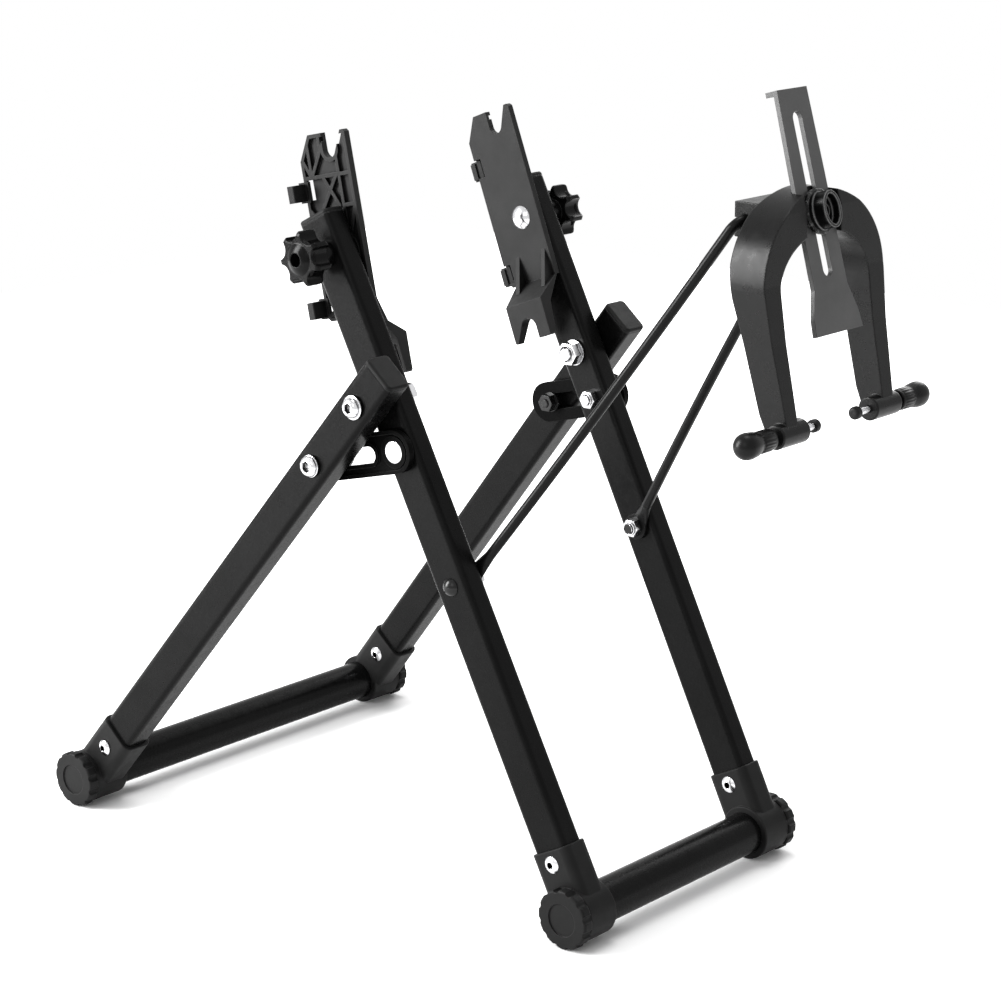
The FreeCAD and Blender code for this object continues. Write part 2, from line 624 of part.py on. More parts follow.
def dropout(lean):
    rib_in = HUB_HALF + PLATE_T
    corners = [V(rib_in, y, z) for y, z in bracket_outline()]
    face = Part.Face(Part.makePolygon(corners + corners[:1]))
    blank = face.extrude(V(RIB_OUT - rib_in, 0, 0))
    rim = blank.cut(face.makeOffset2D(-RIB_W).extrude(V(RIB_OUT - rib_in, 0, 0)))
    ribs = [bar(start, end, RIB_W, rib_in, RIB_OUT).common(blank)
            for start, end in bracket_rib_lines()]
    pad = across(rib_in, FRONT.inner(CLAMP_UP) - FRONT.seat(PAD_R), 0, 0, PAD_R)
    seat = across(rib_in, RIB_OUT, AXLE_AT[0], AXLE_AT[1], AXLE_SLOT / 2 + RIB_W).common(blank)
    tab_y = leg_back(TAB_UP + TAB_HEIGHT) + TAB_ROOM
    tabs = [bracket_tab(tab_y, TAB_UP), bracket_tab(tab_y, TAB_LOW)]
    tab_roots = [box(rib_in, RIB_OUT, tab_y - RIB_W, tab_y + TAB_DEPTH, z - 1, z + TAB_HEIGHT + 1)
                 for z in (TAB_UP, TAB_LOW)]
    web = [(HUB_HALF + EDGE, RAMP_TOP + GUSSET_RISE), (HUB_HALF, RAMP_TOP + GUSSET_RISE),
           (HUB_HALF - GUSSET_RUN, RAMP_TOP - GUSSET_SINK), (HUB_HALF + EDGE, RAMP_TOP)]
    gussets = [strip(web, y - GUSSET_T / 2, y + GUSSET_T / 2) for y in GUSSET_AT]
    body = fuse(bracket_plates() + [rim, pad, seat] + ribs + tabs + tab_roots + gussets)
    notch_y = BRACKET_REAR - TAB_NOTCH
    notches = [box(0, rib_in, notch_y, BRACKET_REAR + 1, z, z + TAB_HEIGHT + TAB_NOTCH_UP)
               for z in (TAB_UP, TAB_LOW)]
    bore = across(0, 2 * HUB_HALF, 0, 0, BOLT_R + SNUG)
    slots = [slot_cut(AXLE_AT, AXLE_SLOT, 1, BRACKET_TOP),
             slot_cut(THRU_AT, THRU_SLOT, -1, BRACKET_FOOT)]
    body = body.cut(notches + slots + [bore, flange_pocket(slots[1])])
    return tilted(body, V(0, CLAMP_AT[0], CLAMP_AT[1]), -lean)


def clamp_bolt():
    """Carriage bolt from the bracket through the leg into the star knob."""
    y, z = CLAMP_AT
    end = STAR_X + STAR_NECK + STAR_THICK - STAR_EYE_DEPTH
    return fuse([across(HUB_HALF - EDGE, end, y, z, BOLT_R),
                 dome(HUB_HALF, HUB_HALF - DOME_H, y, z, DOME_R)])


def star_knob():
    """Lobed knob on a neck, with a crowned face and an open eye over the bolt end."""
    y, z = CLAMP_AT
    x1 = STAR_X + STAR_NECK
    x2 = x1 + STAR_THICK
    neck = across(STAR_X, x1 + 1, y, z, STAR_NECK_R)
    head = round_rims(across(x1, x2, y, z, STAR_R), STAR_ROUND)
    flutes = []
    for k in range(STAR_LOBES):
        angle = math.radians((k + 0.25) * 360 / STAR_LOBES)
        spot = (y + STAR_FLUTE_AT * math.cos(angle), z + STAR_FLUTE_AT * math.sin(angle))
        flutes.append(across(x1 - 1, x2 + 1, spot[0], spot[1], STAR_FLUTE))
    crown = dome(x2 - STAR_ROUND, x2 + STAR_CAP, y, z, STAR_FACE_R)
    bore = across(STAR_X, x2 + STAR_CAP, y, z, BOLT_R + RUN)
    return fuse([neck, head.cut(flutes), crown]).cut(bore)


# ---- gauge arm --------------------------------------------------------------
def bow_point(bow, z):
    """Point of the bowed side rod at height z in the arm frame."""
    return V(bow.Center.x - math.sqrt(bow.Radius ** 2 - (z - bow.Center.z) ** 2), 0, z)


def arm_path():
    """Right half of the rod, in the arm frame: bowed side, bend, crossbar."""
    bow = Part.Circle(V(EYE_X, 0, 0), V(ARM_MID_X, 0, ARM_MID_UP), V(ARM_END[0], 0, ARM_END[1]))
    turn_z = ARM_LENGTH - ARM_BEND
    reach = bow.Radius + ARM_BEND
    turn = V(bow.Center.x - math.sqrt(reach ** 2 - (turn_z - bow.Center.z) ** 2), 0, turn_z)
    outward = (bow.Center - turn).normalize()
    touch = turn + outward * ARM_BEND
    first = bow_point(bow, EYE_NECK)
    side = Part.Arc(first, bow_point(bow, (EYE_NECK + touch.z) / 2), touch).toShape()
    top = turn + Z_AXIS * ARM_BEND
    bend = Part.Arc(touch, turn + (outward + Z_AXIS).normalize() * ARM_BEND, top).toShape()
    crossbar = Part.LineSegment(top, V(0, 0, ARM_LENGTH)).toShape()
    return Part.Wire([side, bend, crossbar]), first


def gauge_arm():
    path, first = arm_path()
    tangent = (path.Edges[0].valueAt(path.Edges[0].FirstParameter + 0.001) - first).normalize()
    ring = Part.Wire([Part.Circle(first, tangent, ROD_R).toShape()])
    side = path.makePipeShell([ring], True, False)
    shoulder = SMALL_FLATS * 0.6
    reach = math.sqrt(EYE_R ** 2 - shoulder ** 2)
    flat = Part.Ellipse(V(EYE_X, reach, shoulder), V(EYE_X + EYE_T / 2, 0, shoulder),
                        V(EYE_X, 0, shoulder))
    neck = Part.makeLoft([Part.Wire([flat.toShape()]), ring], True)
    eye = across(EYE_X - EYE_T / 2, EYE_X + EYE_T / 2, 0, 0, EYE_R)
    half = side.multiFuse([neck, eye]).cut(across(0, 2 * EYE_X, 0, 0, SMALL_R + RUN))
    whole = fuse([half, mirrored(half)])
    return tilted(whole, V(0, ARM_AT[0], ARM_AT[1]), ARM_LEAN)


def arm_bolt():
    y, z = ARM_AT
    face = FRONT.outer(-ARM_DROP) + FRONT.seat(SMALL_HEAD_R)
    end = EYE_X - EYE_T / 2 - RUN - SMALL_NUT - THREAD_OUT
    return fuse([across(end, face + 1, y, z, SMALL_R),
                 dome(face, face + SMALL_HEAD_T, y, z, SMALL_HEAD_R)])


def arm_nut():
    y, z = ARM_AT
    face = EYE_X - EYE_T / 2 - RUN
    nut = hexagon(face - SMALL_NUT, face, y, z, SMALL_FLATS)
    return nut.cut(across(0, face, y, z, SMALL_R + SNUG))


# ---- gauge head, drawn round the crossbar ------------------------------------
def mirrored(shape):
    return shape.mirror(V(0, 0, 0), X_AXIS)


def at_head(shape):
    return shape.translated(V(0, CROSSBAR[0], CROSSBAR[1]))


def at_gauge(shape):
    """From the frame of the gauge plate: Z up the plate, Y out of its back."""
    return at_head(tilted(shape, V(0, GAUGE_Y, GAUGE_Z), -GAUGE_TILT))


def arch(half_top, centre_z, rise, half_foot, foot_z):
    """Horseshoe outline in the XZ plane with an elliptic crown, as a face."""
    left = V(-half_top, 0, centre_z)
    right = V(half_top, 0, centre_z)
    crown = Part.Ellipse(right, V(0, 0, centre_z + rise), V(0, 0, centre_z))
    foot_left = V(-half_foot, 0, foot_z)
    foot_right = V(half_foot, 0, foot_z)
    lines = [Part.LineSegment(left, foot_left).toShape(),
             Part.LineSegment(foot_left, foot_right).toShape(),
             Part.LineSegment(foot_right, right).toShape()]
    return Part.Face(Part.Wire([Part.ArcOfEllipse(crown, 0, math.pi).toShape()] + lines))


def gauge_yoke():
    depth = V(0, YOKE_DROP, 0)
    outer = arch(YOKE_OUTER, YOKE_OUTER_Z, YOKE_CROWN, YOKE_HALF, -YOKE_DROP)
    inner = arch(YOKE_INNER, YOKE_INNER_Z, YOKE_VAULT, YOKE_GAP, -2 * YOKE_DROP)
    horseshoe = outer.cut(inner).extrude(depth).translated(-depth)
    body = horseshoe.common(slab(YOKE_FRONT_LINE + YOKE_REAR_LINE, -2 * YOKE_OUTER, 2 * YOKE_OUTER))
    bosses = []
    for x0, x1 in ((BOSS_IN, BOSS_OUT), (-BOSS_OUT, -BOSS_IN)):
        bosses.append(round_rims(across(x0, x1, SCREW_Y, SCREW_Z, BOSS_R), EDGE))
    block = box(-BLOCK_HALF, BLOCK_HALF, -BLOCK_ROOT, BLOCK_DEPTH, -BLOCK_RISE, BLOCK_RISE)
    corners = [edge for edge in block.Edges if edge.BoundBox.YMin > BLOCK_DEPTH - EDGE]
    block = block.makeFillet(2 * EDGE, corners)
    body = fuse([body, block] + bosses)
    half = GAUGE_HALF + CHANNEL_SIDE
    channel = box(-half, half, -GAUGE_TOP, RUN, GAUGE_FOOT, GAUGE_TOP)
    channel = tilted(channel, V(0, GAUGE_Y, GAUGE_Z), -GAUGE_TILT)
    channel = channel.common(box(-half, half, -YOKE_DROP, 0, GAUGE_FOOT, YOKE_TOP + 1))
    crossbar = across(-YOKE_OUTER, YOKE_OUTER, 0, 0, ROD_R + RUN)
    slit = box(-YOKE_OUTER, YOKE_OUTER, 0, BLOCK_DEPTH, -BLOCK_SLIT / 2, BLOCK_SLIT / 2)
    screw = across(-2 * YOKE_OUTER, 2 * YOKE_OUTER, SCREW_Y, SCREW_Z, SCREW_R + RUN)
    socket = tilted(bolt_solid(SNUG), V(0, GAUGE_Y, GAUGE_Z), -GAUGE_TILT)
    return at_head(body.cut([channel, crossbar, slit, screw, socket]))


def turned_y(y0, y1, radius):
    """Cylinder along Y."""
    return Part.makeCylinder(radius, y1 - y0, V(0, y0, 0), Y_AXIS)


def bolt_solid(grow):
    """Clamp bolt of the gauge plate, moulded into the crown."""
    shank = turned_y(-GAUGE_T - GRIP_LENGTH + GRIP_CUP, BOLT_HEAD_AT + 1, SMALL_R + grow)
    head = turned_y(BOLT_HEAD_AT - grow, BOLT_HEAD_AT + BOLT_HEAD_T + grow, SMALL_HEAD_R + grow)
    return fuse([shank, head])


def gauge_plate():
    waist = -GAUGE_HALF - GAUGE_WAIST
    points = [(-GAUGE_TOP_HALF, GAUGE_TOP), (-GAUGE_HALF, GAUGE_SHOULDER), (waist, GAUGE_FLARE),
              (-GAUGE_FOOT_HALF + 1, GAUGE_FLARE - GAUGE_SPREAD), (-GAUGE_FOOT_HALF, GAUGE_FOOT)]
    outline = points + [(-x, z) for x, z in reversed(points)]
    plate = strip(outline, -GAUGE_T, 0)
    lip = box(-GAUGE_TOP_HALF, GAUGE_TOP_HALF, -GAUGE_T, GAUGE_LIP, GAUGE_TOP - GAUGE_T, GAUGE_TOP)
    bend = [edge for edge in lip.Edges
            if edge.BoundBox.YMax < 0 and edge.BoundBox.ZMin > GAUGE_TOP - EDGE]
    lip = lip.makeFillet(EDGE, bend[:1])
    half = GAUGE_SLOT / 2
    slot = box(-half, half, -GAUGE_T, 0, SLOT_LOW + half, SLOT_HIGH - half)
    ends = [turned_y(-GAUGE_T, 0, half).translated(V(0, 0, z))
            for z in (SLOT_LOW + half, SLOT_HIGH - half)]
    return at_gauge(fuse([plate, lip]).cut([slot] + ends))


def gauge_knob():
    """Thumb knob: a fluted base, and an oval grip with a hollow face."""
    back = -GAUGE_T - 2 * RUN
    base = round_rims(turned_y(back - GRIP_BASE, back, GRIP_R), EDGE)
    flutes = []
    for k in range(GRIP_FLUTES):
        angle = math.radians(k * 360 / GRIP_FLUTES)
        spot = V(math.cos(angle), 0, math.sin(angle)) * (GRIP_R + EDGE / 2)
        flutes.append(turned_y(back - GRIP_BASE, back, EDGE).translated(spot))
    front = back - GRIP_LENGTH
    grip = oval(front, back - GRIP_BASE + 1, GRIP_OVAL, 0)
    cup = oval(front, front + GRIP_CUP, GRIP_OVAL, GRIP_WALL)
    bore = turned_y(front, back, SMALL_R + RUN)
    return at_gauge(fuse([base.cut(flutes), grip]).cut([cup, bore]))


def oval(y0, y1, halves, inset):
    """Oval block along Y; halves are its half sizes along X and Z."""
    half_x, half_z = (size - inset for size in halves)
    ring = Part.Ellipse(V(0, y0, half_z), V(half_x, y0, 0), V(0, y0, 0))
    return Part.Face(Part.Wire([ring.toShape()])).extrude(V(0, y1 - y0, 0))


def gauge_clamp_bolt():
    return at_gauge(bolt_solid(0))


def lateral_tip():
    """Soft pad on the end of a lateral screw."""
    pad = across(TIP_IN, TIP_OUT, SCREW_Y, SCREW_Z, TIP_R)
    pad = pad.makeFillet(TIP_R * 0.5, [edge for edge in pad.Edges if edge.BoundBox.XMax < TIP_IN + EDGE])
    socket = across(TIP_OUT - TIP_SOCKET, TIP_OUT, SCREW_Y, SCREW_Z, SCREW_R + RUN)
    return at_head(pad.cut(socket))


def lateral_screw():
    start = TIP_OUT - TIP_SOCKET + RUN
    return at_head(across(start, KNOB_IN + KNOB_SOCKET, SCREW_Y, SCREW_Z, SCREW_R))


def lateral_knob():
    """Long thumb knob with a round end."""
    end = KNOB_OUT - KNOB_DOME
    body = across(KNOB_IN, end, SCREW_Y, SCREW_Z, KNOB_R)
    tail = dome(end, KNOB_OUT, SCREW_Y, SCREW_Z, KNOB_R)
    bore = across(KNOB_IN, KNOB_IN + KNOB_SOCKET + SNUG, SCREW_Y, SCREW_Z, SCREW_R + SNUG)
    return at_head(fuse([body, tail]).cut(bore))


# ---- export -----------------------------------------------------------------
def export(name, shape):
    shape.exportStep(os.path.join("parts", name + ".step"))
    print(name, len(shape.Solids), shape.isValid(), round(shape.Volume))


def pair(name, shape):
    export(name + "_right", shape)
    export(name + "_left", mirrored(shape))


def main():
    os.makedirs("parts", exist_ok=True)
    front_holes = [(PIVOT, BOLT_R + SNUG), (LINK_AT, SMALL_R + SNUG), (ARM_AT, SMALL_R + SNUG),
                   (CLAMP_AT, BOLT_R + RUN)]
    rear_holes = [(PIVOT, BOLT_R + RUN), (STOP_AT, PIN_R + SNUG)]
    pair("front_leg", leg_tube(FRONT, front_holes))
    pair("rear_leg", leg_tube(REAR, rear_holes))
    for word, leg in (("front", FRONT), ("rear", REAR)):
        export(word + "_cross_tube", cross_tube(leg))
        pair(word + "_tee", tee(leg))
        pair(word + "_foot_cap", end_cap(leg))
        pair(word + "_leg_plug", leg_plug(leg))
        pair(word + "_rivet", rivet(leg))
    pair("pivot_bolt", pivot_bolt())
    pair("pivot_nut", pivot_nut())
    pair("pivot_spacer", pivot_spacer())
    pair("link_bolt", link_bolt())
    pair("stop_bolt", stop_bolt())
    pair("stop_nut", stop_nut())
    pair("stay_link", stay_link())
    export("dropout_bracket_right", dropout(LEAN_RIGHT))
    export("dropout_bracket_left", mirrored(dropout(LEAN_LEFT)))
    pair("clamp_bolt", clamp_bolt())
    pair("star_knob", star_knob())
    pair("arm_bolt", arm_bolt())
    pair("arm_nut", arm_nut())
    export("gauge_arm", gauge_arm())
    export("gauge_yoke", gauge_yoke())
    export("gauge_plate", gauge_plate())
    export("gauge_clamp_bolt", gauge_clamp_bolt())
    export("gauge_knob", gauge_knob())
    pair("lateral_tip", lateral_tip())
    pair("lateral_screw", lateral_screw())
    pair("lateral_knob", lateral_knob())


main()
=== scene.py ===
"""Looks of the folding bicycle wheel truing stand, in metres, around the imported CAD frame."""
import math

import bmesh
import bpy
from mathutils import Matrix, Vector

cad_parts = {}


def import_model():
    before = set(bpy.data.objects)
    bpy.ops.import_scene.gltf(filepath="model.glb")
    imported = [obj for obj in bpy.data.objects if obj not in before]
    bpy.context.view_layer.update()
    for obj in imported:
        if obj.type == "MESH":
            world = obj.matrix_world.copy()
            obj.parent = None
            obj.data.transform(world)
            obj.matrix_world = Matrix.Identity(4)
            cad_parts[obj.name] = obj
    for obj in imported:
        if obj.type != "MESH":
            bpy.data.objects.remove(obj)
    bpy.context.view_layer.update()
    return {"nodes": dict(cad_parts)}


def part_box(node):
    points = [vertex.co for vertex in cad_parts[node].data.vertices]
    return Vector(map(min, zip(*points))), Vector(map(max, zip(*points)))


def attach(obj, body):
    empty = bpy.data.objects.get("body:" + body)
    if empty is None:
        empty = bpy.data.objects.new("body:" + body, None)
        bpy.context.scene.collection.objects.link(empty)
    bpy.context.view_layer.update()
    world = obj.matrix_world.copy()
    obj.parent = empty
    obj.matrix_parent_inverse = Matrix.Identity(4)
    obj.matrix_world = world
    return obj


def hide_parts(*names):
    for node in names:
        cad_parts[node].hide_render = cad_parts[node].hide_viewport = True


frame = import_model()
NODES = frame["nodes"]
SIDES = (("_right", 1), ("_left", -1))

# ---- camera -------------------------------------------------------------------
CAMERA_AT = (-1.16346, -1.04555, 0.65329)
CAMERA_TURN = (74.372, 0.0, -48.13)      # degrees
CAMERA_LENS = 97.32                      # millimetres, on the sensor below
SENSOR = 36.0

# ---- studio -------------------------------------------------------------------
MIDDLE = (0, 0, 0.22)                    # of the stand
WHITE = (1, 1, 1, 1)
WORLD_LIGHT = 0.55
LAMPS = (                                # name, place, target, width and height, watts
    ("key", (-1.7, 1.55, 1.1), (0, -0.1, 0.3), (0.9, 1.8), 135.0),
    ("left", (-2.2, -0.9, 1.6), MIDDLE, (1.2, 1.2), 8.0),
    ("top", (0.3, 0.0, 2.4), MIDDLE, (1.0, 1.0), 18.0),
    ("far_side", (2.3, 0.5, 1.3), MIDDLE, (1.2, 1.2), 24.0),
)
FLOOR_HALF = 1.6
FLOOR_DROP = 0.0002                      # below the feet
PAPER = 0.92                             # colour of the floor
CONTACT_SHADOW_REACH = 0.1                            # how near a piece must stand to paint a contact shadow on the floor
NEAR_GLOW = 0.36                         # lift of the open floor to white, as seen; taken away near pieces as a painted contact shadow
FAR_GLOW = 0.5                           # and of the floor away from the stand
FAR_FROM, FAR_TO = 0.4, 0.9

# ---- materials: shares and scales ---------------------------------------------
MOTTLE = 38.0                            # cloudy colour of paint and mouldings
SHINE = 160.0                            # cloudy roughness
ZINC_CLOUD = 90.0
POLISH = 1500.0                          # fine lines of a plated face
PAINTED_HOLLOW_SHADE = 0.003                     # colour of the painted shade deep in a hollow
ZINC_SHADE_REACH = 0.006                      # reach of the painted shade in a plated corner
ZINC_PAINTED_SHADE, ZINC_DULL = 0.05, 0.84        # shares of the colour in the painted shade of corners, and in clouds

# ---- fasteners and knobs ------------------------------------------------------
SHARP = math.radians(38)                 # edges turned more than this stay sharp
ROUND, HEXAGON, KNURLS = 0, 6, 20        # shapes of a ring
KNURL_DEPTH = 0.035                      # half the depth, as a share of the radius
M8, M6, M4_CORE, PIN = 0.004, 0.003, 0.00186, 0.0028      # radii of the shanks
M8_PITCH, M6_PITCH, M4_PITCH = 0.00125, 0.001, 0.0007
M8_NUT, M6_NUT = 0.013, 0.01             # across flats
CREST = 0.18                             # height of a thread, as a share of its pitch
ROOT = -0.02                             # its foot, just inside the shank
COLLAR = 0.44                            # radius of a lock nut's collar over its width
COLLAR_RISE = 0.0011
COLLAR_EDGE = 0.0003
COLLAR_TAPER = 0.0011
NYLON_WALL = 0.0009
NYLON_PLAY = 0.0003                      # between the nylon and the thread
LINK_NUT_END = 0.002                     # thread standing out of the link bolt's nut
WASHER_T = 0.0013
WASHER_EDGE = 0.0002
WASHER_BEVEL = 0.0003
CROWN = ((0.3, 0.0), (0.6, 0.0004), (0.82, 0.001), (0.95, 0.0017), (1.0, 0.0024))
SOCKET_EDGE = 0.0003
SOCKET_DEPTH = 0.0024
SOCKET_DISH = (0.0002, 0.0004)           # further down, and inward
END_BEVEL = 0.0005
# depth: the CAD head with its washer; the rest: the round head shown in its place
PIVOT_HEAD = {"depth": 0.0079, "washer": 0.0071, "radius": 0.0058, "height": 0.0034,
              "socket": 0.0026}
STOP_HEAD = {"depth": 0.005, "washer": 0.0066, "radius": 0.0061, "height": 0.003,
             "socket": 0.0029}
# waist of a thumb knob: distance from its inner end, radius, shape
WAIST = ((0.0, 0.0052, ROUND), (0.0005, 0.0057, ROUND), (0.0018, 0.0057, ROUND),
         (0.0022, 0.0061, KNURLS), (0.0105, 0.0061, KNURLS), (0.011, 0.0055, ROUND),
         (0.0122, 0.0056, ROUND), (0.0145, 0.0067, ROUND))
BALL_R = 0.0072
BALL_DOME = 0.0074
BALL_BAND = 0.001                        # straight part before the dome
DOME_RINGS = 12
SCREW_BEVEL = 0.0003
SCREW_GAP = 0.0001                       # between the thread and the tip or knob


# ---- materials ----------------------------------------------------------------
class Shader:
    """A short way to write the node tree of a material or a world."""

    def __init__(self, owner, output="ShaderNodeOutputMaterial"):
        self.owner = owner
        owner.use_nodes = True
        self.tree = owner.node_tree
        self.tree.nodes.clear()
        self.output = self.node(output)
        self.coordinates = self.node("ShaderNodeTexCoord").outputs["Object"]

    def node(self, kind, **settings):
        made = self.tree.nodes.new(kind)
        for key, value in settings.items():
            setattr(made, key, value)
        return made

    def feed(self, node, **inputs):
        """Link or set inputs by name with _ for a space, or by number as in i0."""
        for key, value in inputs.items():
            numbered = key[1:].isdigit()
            socket = node.inputs[int(key[1:]) if numbered else key.replace("_", " ")]
            if isinstance(value, bpy.types.NodeSocket):
                self.tree.links.new(value, socket)
            else:
                socket.default_value = value
        return node

    def noise(self, scale, detail=3.0, rough=0.55, stretch=(1, 1, 1)):
        spread = self.feed(self.node("ShaderNodeMapping"), Vector=self.coordinates, Scale=stretch)
        made = self.node("ShaderNodeTexNoise")
        self.feed(made, Vector=spread.outputs[0], Scale=scale, Detail=detail, Roughness=rough)
        return made.outputs["Fac"]

    def spread(self, value, low, high, start=0.3, end=0.7):
        """Map start to end onto low to high."""
        made = self.node("ShaderNodeMapRange")
        self.feed(made, Value=value, From_Min=start, From_Max=end, To_Min=low, To_Max=high)
        return made.outputs["Result"]

    def math(self, operation, first, second):
        made = self.feed(self.node("ShaderNodeMath", operation=operation), i0=first, i1=second)
        return made.outputs[0]

    def blend(self, factor, first, second):
        made = self.node("ShaderNodeMix", data_type="RGBA")
        self.feed(made, i0=factor, i6=first, i7=second)
        return made.outputs[2]

    def open_sky(self, distance, samples=6):
        """1 in the open, less where other faces stand near."""
        made = self.node("ShaderNodeAmbientOcclusion", samples=samples)
        return self.feed(made, Distance=distance).outputs["AO"]

    def edges(self, radius):
        """Rounded normal, and a value that rises along sharp edges."""
        bevel = self.feed(self.node("ShaderNodeBevel", samples=6), Radius=radius)
        geometry = self.node("ShaderNodeNewGeometry")
        dot = self.node("ShaderNodeVectorMath", operation="DOT_PRODUCT")
        self.feed(dot, i0=bevel.outputs[0], i1=geometry.outputs["Normal"])
        rise = self.spread(dot.outputs["Value"], 1.0, 0.0, 0.75, 0.99)
        return bevel.outputs[0], rise

    def bump(self, height, strength, distance, normal):
        made = self.node("ShaderNodeBump")
        self.feed(made, Height=height, Strength=strength, Distance=distance, Normal=normal)
        return made.outputs[0]

    def finish(self, shader):
        self.tree.links.new(shader, self.output.inputs["Surface"])
        return self.owner


def grey(value, tint=0.0):
    return (value, value, value * (1 + tint), 1)


def coated(name, dark, light, rough, grain, depth, edge=0.0008, metal=0.0, edge_light=1.6,
           specular=0.5, shade_reach=0.0):
    """Paint or moulding: mottled colour, grain in the bump, a painted highlight along edges
    (painted shade where edge_light is below 1), and painted shade in hollows.
    """
    s = Shader(bpy.data.materials.new(name))
    normal, rise = s.edges(edge)
    body = s.blend(s.spread(s.noise(MOTTLE, 4.0), 0.0, 1.0), grey(dark), grey(light))
    # painted highlight on edges: the edge colour is the body colour raised by edge_light, or
    # lowered where edge_light is below 1
    painted_edge_light = grey(min(1.0, light * edge_light))
    colour = s.blend(s.spread(rise, 0.0, 0.7, 0.1, 1.0), body, painted_edge_light)
    # painted shade: the colour goes toward the dark colour where other faces stand near
    if shade_reach:
        lit = s.spread(s.open_sky(shade_reach), 0.0, 1.0, 0.35, 0.9)
        colour = s.blend(lit, grey(PAINTED_HOLLOW_SHADE), colour)
    shader = s.node("ShaderNodeBsdfPrincipled")
    s.feed(shader, Base_Color=colour, Metallic=metal, Specular_IOR_Level=specular,
           Roughness=s.spread(s.noise(SHINE, 3.0), rough - 0.05, rough + 0.06),
           Normal=s.bump(s.noise(grain, 2.0, 0.6), 0.5, depth, normal))
    return s.finish(shader.outputs[0])


def plated(name, colour, rough, tint, edge=0.0004):
    """Bright plating: fine polishing lines, cloudy shine and painted shade in corners."""
    s = Shader(bpy.data.materials.new(name))
    normal = s.edges(edge)[0]
    cloud = s.noise(ZINC_CLOUD, 4.0)
    lines = s.noise(POLISH, 2.0, 0.5, (0.08, 1, 1))
    # painted shade: plated corners and recesses darkened where other faces stand near
    shade = s.spread(s.open_sky(ZINC_SHADE_REACH), 0.0, 1.0, 0.36, 0.92)
    body = s.blend(s.spread(cloud, 0.0, 1.0), grey(colour * ZINC_DULL, tint), grey(colour, tint))
    shader = s.node("ShaderNodeBsdfPrincipled")
    s.feed(shader, Base_Color=s.blend(shade, grey(colour * ZINC_PAINTED_SHADE, tint), body),
           Metallic=1.0, Roughness=s.spread(cloud, rough, rough + 0.1),
           Normal=s.bump(lines, 0.25, 0.00003, normal))
    return s.finish(shader.outputs[0])


# edge_light paints a highlight along the edges of these materials; below 1 it paints them darker
POWDER = coated("powder_coat", dark=0.0026, light=0.004, rough=0.26, grain=2600.0,
                depth=0.00001, edge=0.002, edge_light=13.0, specular=0.065)
MOULDING = coated("moulding", dark=0.006, light=0.01, rough=0.46, grain=3400.0,
                  depth=0.00005, edge=0.0006, edge_light=2.8, specular=0.09)
# the bracket's recesses get painted shade
BRACKET = coated("bracket_moulding", dark=0.013, light=0.019, rough=0.44, grain=3400.0,
                 depth=0.00004, edge=0.0005, edge_light=4.6, specular=0.085, shade_reach=0.012)
YOKE = coated("yoke_moulding", dark=0.0026, light=0.0042, rough=0.29, grain=3000.0,
              depth=0.00001, edge=0.0012, edge_light=5.0, specular=0.15)
LINK = coated("link_moulding", dark=0.0014, light=0.0026, rough=0.38, grain=3000.0,
              depth=0.00004, edge=0.0006, edge_light=14.0, specular=0.02)
GLOSS = coated("gloss_knob", dark=0.0018, light=0.003, rough=0.18, grain=900.0,
               depth=0.00001, edge=0.0012, edge_light=4.0, specular=0.08)
# the grip's large edge_light paints a bright highlight band on its rim
GRIP = coated("gauge_grip", dark=0.0018, light=0.003, rough=0.3, grain=900.0,
              depth=0.00001, edge=0.0021, edge_light=130.0, specular=0.08)
THUMB = coated("thumb_knob", dark=0.003, light=0.0055, rough=0.3, grain=900.0,
               depth=0.00001, edge_light=5.0, specular=0.14)
PLATE = coated("plate_steel", dark=0.06, light=0.08, rough=0.4, grain=1800.0,
               depth=0.00002, edge=0.0003, metal=0.2, edge_light=0.3, specular=0.3)
ROD = coated("rod_paint", dark=0.0025, light=0.004, rough=0.3, grain=2400.0,
             depth=0.00002, specular=0.1)
TIP = coated("tip_rubber", dark=0.004, light=0.006, rough=0.45, grain=2400.0,
             depth=0.00004, specular=0.15)
OXIDE = coated("black_oxide", dark=0.006, light=0.01, rough=0.2, grain=2400.0,
               depth=0.00001, edge=0.0004, metal=0.3, specular=0.3)
NYLON = coated("nylon_ring", dark=0.03, light=0.05, rough=0.5, grain=2400.0,
               depth=0.00002, edge=0.0003)
ZINC = plated("zinc", 0.78, 0.14, 0.02)

LOOKS = (
    (("front_leg_plug", "rear_leg_plug"), MOULDING),
    (("front_leg", "rear_leg", "front_cross_tube", "rear_cross_tube"), POWDER),
    (("front_tee", "rear_tee", "front_foot_cap", "rear_foot_cap"), MOULDING),
    (("front_rivet", "rear_rivet", "pivot_bolt", "pivot_nut", "link_bolt", "stop_bolt",
      "clamp_bolt", "arm_nut", "lateral_screw"), ZINC),
    (("pivot_spacer", "stop_nut", "arm_bolt", "gauge_clamp_bolt"), OXIDE),
    (("stay_link",), LINK),
    (("dropout_bracket",), BRACKET),
    (("star_knob", "lateral_knob"), GLOSS),
    (("gauge_knob",), GRIP),
    (("gauge_arm",), ROD),
    (("gauge_yoke",), YOKE),
    (("gauge_plate",), PLATE),
    (("lateral_tip",), TIP),
)


def dress():
    """Give every CAD node its material."""
    for name, obj in NODES.items():
        look = next(material for heads, material in LOOKS if name.startswith(heads))
        obj.data.materials.clear()
        obj.data.materials.append(look)


